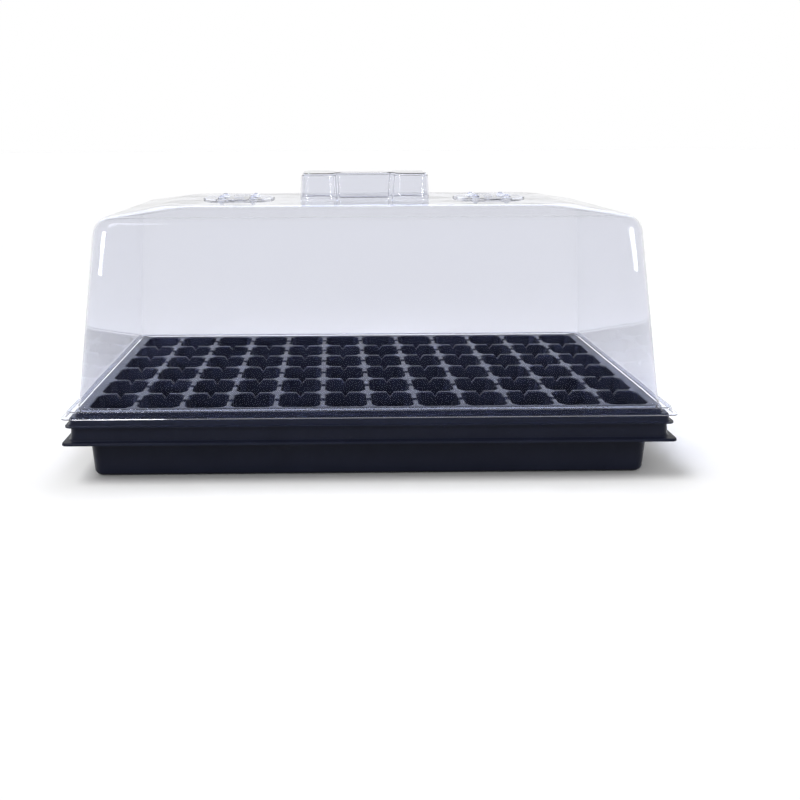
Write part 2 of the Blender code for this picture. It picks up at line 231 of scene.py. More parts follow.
def raise_rim(mesh: BMesh, face: BMFace, profile: list[tuple[float, float]]) -> None:
    """Raise a flat face through a profile, each step moving in and up.

    Args:
        mesh: The mesh to change.
        face: The face, which ends as the top.
        profile: For each step, how far in and how far up it goes.
    """
    for inward, upward in profile:
        bmesh.ops.inset_individual(
            mesh, faces=[face], thickness=inward, depth=upward, use_even_offset=True
        )


def hollow_arc(radius: float, steps: int) -> list[tuple[float, float]]:
    """Return the steps in and up of a quarter round that turns from flat to upright."""
    turns = [math.pi / 2 * step / steps for step in range(steps + 1)]
    places = [(radius * math.sin(turn), radius * (1 - math.cos(turn))) for turn in turns]
    return [(b[0] - a[0], b[1] - a[1]) for a, b in zip(places, places[1:])]


def crown_arc(radius: float, steps: int) -> list[tuple[float, float]]:
    """Return the steps in and up of a quarter round that turns from upright to flat."""
    return [(upward, inward) for inward, upward in reversed(hollow_arc(radius, steps))]


def fill_flat(mesh: BMesh, level: float) -> None:
    """Close the flat between all the open loops at one height, and leave the inner loops open."""
    edges = [
        edge
        for edge in mesh.edges
        if len(edge.link_faces) < 2
        and all(abs(vert.co.z - level) < CLOSE for vert in edge.verts)
    ]
    bmesh.ops.triangle_fill(mesh, edges=edges, use_beauty=True, normal=(0.0, 0.0, 1.0))


def make_piece(
    mesh: BMesh, name: str, finish: bpy.types.Material, sheet: float | None = None
) -> bpy.types.Object:
    """Turn a mesh into a finished piece, and return it.

    Args:
        mesh: The shape, freed here. A sheet is its upper or outer face.
        name: The piece's name.
        finish: Its material.
        sheet: The thickness of a sheet, or None for a solid.
    """
    bmesh.ops.recalc_face_normals(mesh, faces=mesh.faces)
    if sheet:
        broadest = max(mesh.faces, key=lambda face: face.calc_area() * abs(face.normal.z))
        if broadest.normal.z < 0:
            bmesh.ops.reverse_faces(mesh, faces=mesh.faces)
    data = bpy.data.meshes.new(name)
    mesh.to_mesh(data)
    mesh.free()
    piece = add_object(name, data)
    if sheet:
        wall = piece.modifiers.new("wall", "SOLIDIFY")
        wall.thickness = sheet
        wall.offset = -1.0
        wall.use_even_offset = True
        graph = bpy.context.evaluated_depsgraph_get()
        piece.data = bpy.data.meshes.new_from_object(piece.evaluated_get(graph))
        piece.data.name = name
        piece.modifiers.clear()
    piece.data.materials.clear()
    piece.data.materials.append(finish)
    piece.data.shade_smooth()
    piece.data.set_sharp_from_angle(angle=SHARP_ANGLE)
    weights = piece.modifiers.new("flat faces stay flat", "WEIGHTED_NORMAL")
    weights.keep_sharp = True
    return piece


@dataclass(frozen=True)
class Outline:
    """A rounded rectangle about the middle of the set.

    Attributes:
        half_x: Half its length.
        half_y: Half its width.
        corner: Radius of its corners.
        level: Its height.
    """

    half_x: float
    half_y: float
    corner: float
    level: float

    def moved(self, out: float, up: float = 0.0, corner: float | None = None) -> "Outline":
        """Return the outline this far out and up, with a new corner radius if one is given."""
        kept = self.corner if corner is None else corner
        return Outline(self.half_x + out, self.half_y + out, kept, self.level + up)


class Sheet:
    """A formed sheet that grows from one outline to the next."""

    def __init__(self, first: Outline, corner_steps: int) -> None:
        """Lay the first outline as a face, with this many edges round each corner."""
        self.mesh = bmesh.new()
        corners = bmesh.ops.create_grid(self.mesh, x_segments=1, y_segments=1, size=1.0)["verts"]
        bmesh.ops.scale(self.mesh, vec=(first.half_x, first.half_y, 1.0), verts=corners)
        bmesh.ops.translate(self.mesh, vec=(0.0, 0.0, first.level), verts=corners)
        round_corners(self.mesh, corners, first.corner, corner_steps)
        self.edge = list(self.mesh.edges)
        self.outline = first

    def open_middle(self) -> None:
        """Take away the face inside the first outline, before the sheet grows."""
        bmesh.ops.delete(self.mesh, geom=self.mesh.faces[:], context="FACES_ONLY")

    def grow(self, new: Outline) -> list[BMEdge]:
        """Carry the sheet's edge on to a new outline, and return the edge there."""
        old = self.outline
        verts = verts_of(bmesh.ops.extrude_edge_only(self.mesh, edges=self.edge)["geom"])
        self.edge = edges_among(verts)
        ratio = new.corner / old.corner
        for side_x, side_y in ((1, 1), (-1, 1), (-1, -1), (1, -1)):
            group = [v for v in verts if v.co.x * side_x > 0 and v.co.y * side_y > 0]
            was, now = (
                Vector((side_x * (at.half_x - at.corner), side_y * (at.half_y - at.corner), 0))
                for at in (old, new)
            )
            bmesh.ops.scale(
                self.mesh, vec=(ratio, ratio, 1.0), space=Matrix.Translation(-was), verts=group
            )
            lift = Vector((0.0, 0.0, new.level - old.level))
            bmesh.ops.translate(self.mesh, vec=now - was + lift, verts=group)
        self.outline = new
        return self.edge


# ---- finishes


@dataclass(frozen=True)
class FormedStyrene:
    """Black high-impact polystyrene sheet, vacuum formed.

    The mould leaves a glossy skin with a faint orange peel, and handling leaves paler, duller
    patches. Faces seen at a slant shine grey, while the cups stay almost black.
    """

    name: str
    body_colour: str = "#090b14"
    worn_colour: str = "#12141f"
    cast: str = "#c4cff2"  # tint of the shine under the gloss
    shine: float = 0.03  # level of the shine under the gloss
    polish: float = 0.34  # roughness where the sheet kept its shine
    wear: float = 0.5  # roughness where it is rubbed
    gloss: float = 1.0  # weight of the skin that the mould polished
    gloss_roughness: float = 0.14
    gloss_ior: float = 1.15
    ior: float = 1.59
    patch_mm: float = 28.0
    patch_edges: tuple[float, float] = (0.3, 0.7)  # noise where wear begins and is full
    peel_mm: float = 2.2
    peel_depth_mm: float = 0.022
    grain_mm: float = 0.5  # coarser than the real grain, so that it shows
    grain_depth_mm: float = 0.006

    def material(self) -> bpy.types.Material:
        """Return the finish as a node material."""
        made, tree, shader = new_material(self.name)
        patches = noise(tree, self.patch_mm, detail=4.0, roughness=0.6)
        peeled = bump(noise(tree, self.peel_mm, detail=1.0), self.peel_depth_mm)
        inputs = {
            "Base Color": blend(patches, self.body_colour, self.worn_colour),
            "Roughness": remap(patches, self.patch_edges, (self.polish, self.wear)),
            "Normal": bump(noise(tree, self.grain_mm), self.grain_depth_mm, over=peeled),
            "IOR": self.ior,
            "Specular IOR Level": self.shine,
            "Specular Tint": linear(self.cast),
            "Coat Weight": self.gloss,
            "Coat Roughness": self.gloss_roughness,
            "Coat IOR": self.gloss_ior,
        }
        feed(shader, inputs)
        return made


@dataclass(frozen=True)
class ClearSheet:
    """Clear polyester (PET) or clear styrene.

    It lets the light through with a cool grey cast, and mirrors in slow waves where the sheet
    stretched over its mould. Lamps shine through it on what stands inside.
    """

    name: str
    tint: str = "#ecedf2"
    ior: float = 1.4
    mirror: str = "#4c5058"  # tint of what it mirrors face on
    polish: float = 0.0
    haze: float = 0.012  # roughness in the duller drifts
    drift_mm: float = 70.0
    drift_edges: tuple[float, float] = (0.35, 0.75)  # noise where haze begins and is full
    wave_mm: float = 38.0
    wave_depth_mm: float = 0.12

    def material(self) -> bpy.types.Material:
        """Return the finish as a node material."""
        made, tree, shader = new_material(self.name)
        drifts = noise(tree, self.drift_mm, detail=3.0)
        inputs = {
            "Base Color": linear(self.tint),
            "IOR": self.ior,
            "Specular Tint": linear(self.mirror),
            "Transmission Weight": 1.0,
            "Roughness": remap(drifts, self.drift_edges, (self.polish, self.haze)),
            "Normal": bump(noise(tree, self.wave_mm, detail=1.0), self.wave_depth_mm),
        }
        feed(shader, inputs)
        is_shadow = add_node(tree, "ShaderNodeLightPath", {}).outputs["Is Shadow Ray"]
        passing = add_node(tree, "ShaderNodeBsdfTransparent", {"Color": linear(self.tint)})
        shaders = {0: is_shadow, 1: shader.outputs["BSDF"], 2: passing.outputs["BSDF"]}
        lit = add_node(tree, "ShaderNodeMixShader", shaders)
        feed(tree.nodes["Material Output"], {"Surface": lit.outputs["Shader"]})
        return made


@dataclass(frozen=True)
class StudioPaper:
    """Matt white paper under the set, with the faintest mottle."""

    name: str = "matt_studio_paper"
    light: str = "#f9f9f9"
    shade: str = "#f6f6f7"
    roughness: float = 0.9
    shine: float = 0.1
    mottle_mm: float = 90.0

    def material(self) -> bpy.types.Material:
        """Return the finish as a node material."""
        made, tree, shader = new_material(self.name)
        colour = blend(noise(tree, self.mottle_mm), self.light, self.shade)
        feed(shader, {"Base Color": colour, "Roughness": self.roughness})
        feed(shader, {"Specular IOR Level": self.shine})
        return made


# ---- the trays


@dataclass(frozen=True)
class CellTray:
    """The insert: 72 tapered cups in one formed sheet, with a stepped rim round them.

    Attributes:
        columns: Cups along the tray.
        rows: Cups across it.
        pitch: Distance from cup to cup.
        deck: Height of its top.
        bottom: Height of the underside of its cups.
        lip: Half length and half width over its lip.
    """

    columns: int
    rows: int
    pitch: float
    deck: float
    bottom: float
    lip: tuple[float, float]
    sheet: float = 1.0 * MM
    wall_top: float = 5.0 * MM  # between two mouths
    mouth_cut: float = 5.0 * MM  # corner cut of a mouth
    floor_cut: float = 6.0 * MM  # corner cut of a cup's floor
    cup_taper: float = 4.5 * MM  # how much each wall leans in, from mouth to floor
    drain: float = 10.0 * MM
    cup_round: float = 1.3 * MM
    cup_steps: int = 2  # faces across that rounding
    notch_width: float = 7.0 * MM
    notch_depth: float = 4.2 * MM
    notch_steps: int = 2  # steps in each half of a notch
    lip_width: float = 2.6 * MM
    lower_face: float = 6.5 * MM
    ledge: float = 4.3 * MM
    upper_face: float = 5.5 * MM
    slant: float = 0.5 * MM
    corner: float = 7.0 * MM
    top_round: float = 1.8 * MM
    fold_round: float = 1.2 * MM
    corner_steps: int = 8

    @classmethod
    def from_frame(cls, nodes: dict[str, bpy.types.Object]) -> "CellTray":
        """Read the tray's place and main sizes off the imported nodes, given by name."""
        names = sorted(name for name in nodes if name.startswith("cell_column_"))
        first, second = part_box(names[0]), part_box(names[1])
        pitch = (second[0].x + second[1].x - first[0].x - first[1].x) / 2
        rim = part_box("cell_tray_rim")
        return cls(
            columns=len(names),
            rows=round((first[1].y - first[0].y) / pitch),
            pitch=pitch,
            deck=rim[1].z,
            bottom=first[0].z,
            lip=(rim[1].x, rim[1].y),
        )

    def rim_outlines(self) -> list[Outline]:
        """Return the rim's folds from its top edge out to its lip."""
        grow = self.lip_width + self.ledge + 2 * self.slant
        top = Outline(self.lip[0] - grow, self.lip[1] - grow, self.corner, self.deck)
        upper = top.moved(self.slant, -self.upper_face)
        ledge = upper.moved(self.ledge)
        foot = ledge.moved(self.slant, -self.lower_face)
        return [top, upper, ledge, foot, foot.moved(self.lip_width)]

    def _cup(self) -> BMesh:
        """Shape one cup and its share of the deck, centred on the origin."""
        mesh = bmesh.new()
        half = (self.pitch - self.wall_top) / 2
        corners = bmesh.ops.create_grid(mesh, x_segments=1, y_segments=1, size=half)["verts"]
        bmesh.ops.translate(mesh, vec=(0.0, 0.0, self.deck), verts=corners)
        round_corners(mesh, corners, self.mouth_cut, 1)
        mesh.faces.ensure_lookup_table()
        mouth = mesh.faces[0]
        edge = verts_of(bmesh.ops.extrude_edge_only(mesh, edges=mouth.edges[:])["geom"])
        for vert in edge:
            along_x = abs(vert.co.x) > abs(vert.co.y)
            sign = math.copysign(self.wall_top / 2, vert.co.x if along_x else vert.co.y)
            bmesh.ops.translate(mesh, vec=(sign, 0, 0) if along_x else (0, sign, 0), verts=[vert])
        floor = push_face(mesh, mouth).verts[:]
        floor_level = self.bottom + self.sheet
        bmesh.ops.translate(mesh, vec=(0.0, 0.0, floor_level - self.deck), verts=floor)
        for vert in floor:
            for axis in (0, 1):
                on_side = abs(vert.co[axis]) > half - CLOSE
                reach = half - self.cup_taper - (0.0 if on_side else self.floor_cut)
                vert.co[axis] = math.copysign(reach, vert.co[axis])
        mesh.normal_update()
        walls = [face for face in mesh.faces if abs(face.normal.z) < STEEP]
        edges = list(dict.fromkeys(edge for face in walls for edge in face.edges))
        round_edges(mesh, edges, self.cup_round, self.cup_steps)
        middle = min(mesh.faces, key=lambda face: face.calc_center_median().length_squared)
        inset = half - self.cup_taper - self.cup_round - self.drain / 2
        bmesh.ops.inset_individual(mesh, faces=[middle], thickness=inset, use_even_offset=True)
        bmesh.ops.delete(mesh, geom=[middle], context="FACES")
        for step in range(-self.notch_steps, self.notch_steps + 1):
            place = self.notch_width / 2 * step / self.notch_steps
            for axis in (Vector((1, 0, 0)), Vector((0, 1, 0))):
                crease(mesh, axis * place, axis)
        return mesh

    def _notch_drop(self, along: float, across: float, cells: int, walls: int) -> float:
        """Return how deep a notch dips a point of the deck, or 0 off the shared walls.

        Args:
            along: The point's place along the wall, in cells from the tray's edge.
            across: Its place across the walls, in cells from the tray's edge.
            cells: Number of cells along the wall.
            walls: Number of cells across, whose borders are the walls.
        """
        nearest = round(across)
        off_wall = abs(across - nearest) * self.pitch
        if not 0 < nearest < walls or off_wall > self.wall_top / 2 + self.cup_round:
            return 0.0
        off_middle = abs(along - math.floor(min(along, cells - 0.5)) - 0.5) * self.pitch
        reach = min(off_middle / (self.notch_width / 2), 1.0)
        return self.notch_depth * (1 - reach)

    def _cut_notches(self, mesh: BMesh) -> None:
        """Dip the deck half way along every wall that two cups share."""
        for vert in mesh.verts:
            if vert.co.z < self.deck - self.cup_round - CLOSE:
                continue
            x = vert.co.x / self.pitch + self.columns / 2
            y = vert.co.y / self.pitch + self.rows / 2
            drops = (
                self._notch_drop(x, y, self.columns, self.rows),
                self._notch_drop(y, x, self.rows, self.columns),
            )
            vert.co.z -= max(drops)

    def build(self, finish: bpy.types.Material) -> bpy.types.Object:
        """Form the whole tray out of a material, and return it."""
        outlines = self.rim_outlines()
        rim = Sheet(outlines[0].moved(-FOLD_ROOM * self.top_round), self.corner_steps)
        rim.open_middle()
        top, *folds, _ = [rim.grow(outline) for outline in outlines]
        round_edges(rim.mesh, top, self.top_round)
        for fold in folds:
            round_edges(rim.mesh, fold, self.fold_round)
        field_mesh = bmesh.new()
        absorb(field_mesh, self._cup())
        for count, step in ((self.columns, (self.pitch, 0, 0)), (self.rows, (0, self.pitch, 0))):
            source = all_of(field_mesh)
            for number in range(1, count):
                copy = verts_of(bmesh.ops.duplicate(field_mesh, geom=source)["geom"])
                bmesh.ops.translate(field_mesh, vec=Vector(step) * number, verts=copy)
        to_middle = Vector((1 - self.columns, 1 - self.rows, 0)) * self.pitch / 2
        bmesh.ops.translate(field_mesh, vec=to_middle, verts=field_mesh.verts)
        bmesh.ops.remove_doubles(field_mesh, verts=field_mesh.verts, dist=CLOSE)
        bmesh.ops.holes_fill(field_mesh, edges=field_mesh.edges, sides=4)
        self._cut_notches(field_mesh)
        absorb(rim.mesh, field_mesh)
        fill_flat(rim.mesh, self.deck)
        return make_piece(rim.mesh, "cell_tray_sheet", finish, self.sheet)


@dataclass(frozen=True)
class WaterTray:
    """The deep tray under the insert: ribbed floor, plain walls, stepped rim, apron and flange.

    Attributes:
        insert: The cell tray that stands in it.
        edge: Half length and half width over its flange.
        top: Height of its rim.
    """

    insert: CellTray
    edge: tuple[float, float]
    top: float
    sheet: float = 1.2 * MM
    rest_gap: float = 0.3 * MM  # what the two rims keep between them
    side_room: float = 1.0 * MM  # between the outer cups and its wall
    floor_corner: float = 10.0 * MM
    wall_corner: float = 9.0 * MM
    apron: float = 25.0 * MM  # rim to flange
    flange: float = 5.2 * MM
    flange_corner: float = 6.0 * MM
    turned_edge: float = 2.2 * MM
    fold_round: float = 1.5 * MM
    floor_round: float = 3.0 * MM
    rib_foot: float = 6.0 * MM  # width of a floor rib at its foot
    rib_top: float = 3.0 * MM
    rib_height: float = 2.4 * MM
    rib_margin: float = 12.0 * MM  # bare border between ribs and wall
    corner_steps: int = 8

    @classmethod
    def from_frame(cls, insert: CellTray) -> "WaterTray":
        """Read the tray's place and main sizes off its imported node."""
        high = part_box("base_tray")[1]
        return cls(insert=insert, edge=(high.x, high.y), top=high.z)

    def _rib_lines(self, count: int) -> list[float]:
        """Return the places of the ribs that run between this many cups."""
        return [(number - count / 2) * self.insert.pitch for number in range(1, count)]

    def _rib_rise(self, place: float, lines: list[float], end: float) -> float:
        """Return the share of their full height that ribs have at a place.

        Args:
            place: The coordinate across the ribs.
            lines: The ribs' middles.
            end: Where the bare border starts.
        """
        off = min(abs(place - line) for line in lines)
        slope = (self.rib_foot - self.rib_top) / 2
        return min(max((self.rib_foot / 2 - off) / slope, 0.0), 1.0) if abs(place) < end else 0.0

    def _rib_floor(self, mesh: BMesh, floor: Outline) -> None:
        """Raise a grid of low ribs in the floor, between the places where the cups stand."""
        insert = self.insert
        sets = (
            (Vector((1, 0, 0)), self._rib_lines(insert.columns), floor.half_x - self.rib_margin),
            (Vector((0, 1, 0)), self._rib_lines(insert.rows), floor.half_y - self.rib_margin),
        )
        slope = (self.rib_foot - self.rib_top) / 2
        sides = (-self.rib_foot / 2, -self.rib_top / 2, self.rib_top / 2, self.rib_foot / 2)
        for axis, lines, end in sets:
            cuts = [line + side for line in lines for side in sides]
            for place in cuts + [-end, -end + slope, end - slope, end]:
                crease(mesh, axis * place, axis)
        ends = [end for _, _, end in sets]
        for vert in mesh.verts:
            inside = min(ends[0] - abs(vert.co.x), ends[1] - abs(vert.co.y)) / slope
            rise = max(self._rib_rise(vert.co[i], sets[i][1], ends[i]) for i in (0, 1))
            vert.co.z += self.rib_height * rise * min(max(inside, 0.0), 1.0)

    def build(self, finish: bpy.types.Material) -> bpy.types.Object:
        """Form the whole tray out of a material, and return it."""
        insert = self.insert
        wall_out = self.side_room + insert.sheet - insert.wall_top / 2
        wall = Outline(
            insert.columns * insert.pitch / 2 + wall_out,
            insert.rows * insert.pitch / 2 + wall_out,
            self.wall_corner,
            self.top,
        )
        floor = wall.moved(-insert.cup_taper, self.sheet - self.top, self.floor_corner)
        inset = insert.sheet + self.rest_gap
        rim, upper, ledge = (fold.moved(-inset, -inset) for fold in insert.rim_outlines()[:3])
        flange = Outline(*self.edge, self.flange_corner, self.top - self.apron)
        apron = flange.moved(-self.flange, 0.0, self.wall_corner)
        sheet = Sheet(floor.moved(-FOLD_ROOM * self.floor_round), self.corner_steps)
        self._rib_floor(sheet.mesh, floor)
        sheet.edge = [edge for edge in sheet.mesh.edges if len(edge.link_faces) == 1]
        folds = [sheet.grow(step) for step in (floor, wall, rim, upper, ledge, apron, flange)]
        sheet.grow(flange.moved(0.0, -self.turned_edge))
        round_edges(sheet.mesh, folds[0], self.floor_round)
        for fold in folds[1:]:
            round_edges(sheet.mesh, fold, self.fold_round)
        return make_piece(sheet.mesh, "water_tray_sheet", finish, self.sheet)


# ---- the dome


@dataclass(frozen=True)
class VentSlots:
    """The ring of arc-shaped slots that a vent's dial and the roof under it both have."""

    count: int = 4
    radius: float = 27.0 * MM  # to the middle of a slot
    width: float = 11.0 * MM
    sweep: float = math.radians(36)
    corner: float = 2.4 * MM
    corner_steps: int = 3
    steps: int = 8

    def outlines(self, centre: Vector) -> BMesh:
        """Return a mesh of the slots' outlines as open loops, about the middle of a vent."""
        mesh = bmesh.new()
        ends = [mesh.verts.new((self.radius + side * self.width / 2, 0, 0)) for side in (-1, 1)]
        start = [*ends, mesh.edges.new(ends)]
        first = Matrix.Rotation(-self.sweep / 2, 3, "Z")
        bmesh.ops.rotate(mesh, verts=ends, cent=(0, 0, 0), matrix=first)
        bmesh.ops.spin(
            mesh, geom=start, cent=(0, 0, 0), axis=(0, 0, 1), angle=self.sweep, steps=self.steps
        )
        bmesh.ops.dissolve_faces(mesh, faces=mesh.faces)
        corners = [vert for vert in mesh.verts if vert.calc_edge_angle(0.0) > CORNER_ANGLE]
        round_corners(mesh, corners, self.corner, self.corner_steps)
        bmesh.ops.delete(mesh, geom=mesh.faces[:], context="FACES_ONLY")
        source = all_of(mesh)
        for number in range(1, self.count):
            copy = verts_of(bmesh.ops.duplicate(mesh, geom=source)["geom"])
            turn = Matrix.Rotation(2 * math.pi * number / self.count, 3, "Z")
            bmesh.ops.rotate(mesh, verts=copy, cent=(0, 0, 0), matrix=turn)
        bmesh.ops.translate(mesh, vec=centre, verts=mesh.verts)
        return mesh


@dataclass(frozen=True)
class HumidityDome:
    """The clear dome: flange, skirt, leaning walls, soft shoulders, roof and a moulded handle.

    Attributes:
        insert: The cell tray that it closes.
        edge: Half length and half width over its flange.
        top: Height of the top of its handle.
        vents: The middles of its vents.
        slots: The slots of each vent.
    """

    insert: CellTray
    edge: tuple[float, float]
    top: float
    vents: list[Vector]
    slots: VentSlots
    sheet: float = 0.8 * MM
    rest_gap: float = 0.3 * MM  # between its seat and the tray's rim
    seat_overlap: float = 1.0 * MM
    skirt: float = 5.6 * MM
    flange_corner: float = 6.0 * MM
    wall_corner: float = 14.0 * MM
    draft: float = 0.072  # how far a wall leans in per unit of height
    shoulder: float = 16.0 * MM
    shoulder_steps: int = 8
    slope_height: float = 7.5 * MM
    slope_x: float = 43.0 * MM
    slope_y: float = 18.0 * MM
    top_corner: float = 26.0 * MM
    roof_round: float = 8.0 * MM
    roof_steps: int = 4  # faces across that rounding
    roof_room: float = 10.0 * MM  # flat that is kept beside it
    fold_round: float = 1.3 * MM
    handle_length: float = 128.0 * MM
    handle_depth: float = 72.0 * MM
    handle_waist: float = 32.0 * MM
    handle_lobe: float = 37.0 * MM
    handle_rise: float = 27.0 * MM
    handle_draft: float = 1.5 * MM
    handle_corner: float = 14.0 * MM
    handle_neck: float = 4.5 * MM  # radius of the inner corners
    handle_foot: float = 1.2 * MM  # radius where it grows out of the roof
    handle_crown: float = 2.0 * MM
    handle_corner_steps: int = 8
    handle_neck_steps: int = 5
    handle_foot_steps: int = 4
    handle_wall_steps: int = 3
    handle_crown_steps: int = 5
    pin_hole: float = 3.5 * MM
    pin_hole_steps: int = 24
    corner_steps: int = 12

    @classmethod
    def from_frame(cls, insert: CellTray, vents: list[Vector], slots: VentSlots) -> "HumidityDome":
        """Read the dome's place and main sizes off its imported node."""
        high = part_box("dome")[1]
        return cls(insert=insert, edge=(high.x, high.y), top=high.z, vents=vents, slots=slots)

    @property
    def roof(self) -> float:
        """Return the height of the flat of the roof."""
        return self.top - self.handle_rise

    def _outlines(self) -> list[Outline]:
        """Return the sheet's outer face from the edge of the flat roof down to the flange."""
        insert = self.insert
        rim, _, _, tray_foot, _ = insert.rim_outlines()
        seat = insert.deck + self.rest_gap + self.sheet
        foot = rim.moved(self.sheet - self.seat_overlap, seat - rim.level, self.wall_corner)
        arc_level = self.roof - self.slope_height - self.shoulder
        lean = self.draft * (arc_level - seat)
        wall_top = foot.moved(-lean, arc_level - seat, self.top_corner)
        plateau = Outline(
            wall_top.half_x - self.shoulder - self.slope_x,
            wall_top.half_y - self.shoulder - self.slope_y,
            self.top_corner,
            self.roof,
        )
        shoulder = []
        for step in range(self.shoulder_steps + 1):
            turn = math.pi / 2 * (1 - step / self.shoulder_steps)
            reach = self.shoulder * (math.cos(turn) - 1)
            rise = self.shoulder * math.sin(turn)
            shoulder.append(wall_top.moved(reach, rise, self.top_corner + reach / 2))
        reach = self.sheet + insert.slant
        step_top = tray_foot.moved(reach, seat - tray_foot.level, insert.corner + self.sheet)
        skirt_foot = step_top.moved(insert.slant, -self.skirt)
        flange = Outline(*self.edge, self.flange_corner, skirt_foot.level)
        return [plateau, *shoulder, foot, step_top, skirt_foot, flange]

    def _handle(self) -> BMesh:
        """Shape the handle: two round grips joined by a waist, open underneath."""
        mesh = bmesh.new()
        foot = self.handle_foot
        half = Vector((self.handle_length / 2 + foot, self.handle_depth / 2 + foot))
        neck = half.x - self.handle_lobe - 2 * foot
        waist = self.handle_waist / 2 + foot
        verts = bmesh.ops.create_grid(mesh, x_segments=1, y_segments=1, size=1.0)["verts"]
        bmesh.ops.scale(mesh, vec=(*half, 1.0), verts=verts)
        for side in (-1, 1):
            for point in (Vector((side * neck, 0, 0)), Vector((0, side * waist, 0))):
                crease(mesh, point, point.normalized())
        middles = {face: face.calc_center_median() for face in mesh.faces}
        outside = [f for f, mid in middles.items() if abs(mid.x) < neck and abs(mid.y) > waist]
        bmesh.ops.delete(mesh, geom=outside, context="FACES")
        bmesh.ops.dissolve_limit(
            mesh, angle_limit=FLAT_ANGLE, verts=mesh.verts, edges=mesh.edges
        )
        inner = [vert for vert in mesh.verts if abs(vert.co.y) < waist + CLOSE]
        outer = [vert for vert in mesh.verts if abs(vert.co.y) > waist + CLOSE]
        round_corners(mesh, outer, self.handle_corner + foot, self.handle_corner_steps)
        inner = [vert for vert in inner if vert.is_valid]
        round_corners(mesh, inner, self.handle_neck, self.handle_neck_steps)
        bmesh.ops.translate(mesh, vec=(0.0, 0.0, self.roof), verts=mesh.verts)
        mesh.faces.ensure_lookup_table()
        top = mesh.faces[0]
        if top.normal.z < 0:
            bmesh.ops.reverse_faces(mesh, faces=[top])
        wall = self.handle_rise - foot - self.handle_crown
        steps = self.handle_wall_steps
        profile = hollow_arc(foot, self.handle_foot_steps)
        profile += [(self.handle_draft / steps, wall / steps)] * steps
        profile += crown_arc(self.handle_crown, self.handle_crown_steps)
        raise_rim(mesh, top, profile)
        return mesh

    def build(self, finish: bpy.types.Material) -> bpy.types.Object:
        """Form the whole dome out of a material, and return it."""
        outlines = self._outlines()
        sheet = Sheet(outlines[0].moved(-self.roof_room), self.corner_steps)
        sheet.open_middle()
        edges = [sheet.grow(outline) for outline in outlines]
        absorb(sheet.mesh, self._handle())
        for vent in self.vents:
            centre = Vector((vent.x, vent.y, self.roof))
            absorb(sheet.mesh, self.slots.outlines(centre))
            bmesh.ops.create_circle(
                sheet.mesh,
                segments=self.pin_hole_steps,
                radius=self.pin_hole,
                matrix=Matrix.Translation(centre),
            )
        fill_flat(sheet.mesh, self.roof)
        round_edges(sheet.mesh, edges[0], self.roof_round, self.roof_steps)
        for fold in edges[-4:-1]:
            round_edges(sheet.mesh, fold, self.fold_round)
        return make_piece(sheet.mesh, "dome_shell", finish, self.sheet)


class Vent(Enum):
    """The roof's two vents, by the body that each dial turns with."""

    LEFT = "vent_dial_left"
    RIGHT = "vent_dial_right"

    @property
    def middle(self) -> Vector:
        """Return the middle of the vent's dial, at the height of the dial's foot."""
        low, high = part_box(self.value)
        return Vector(((low.x + high.x) / 2, (low.y + high.y) / 2, low.z))


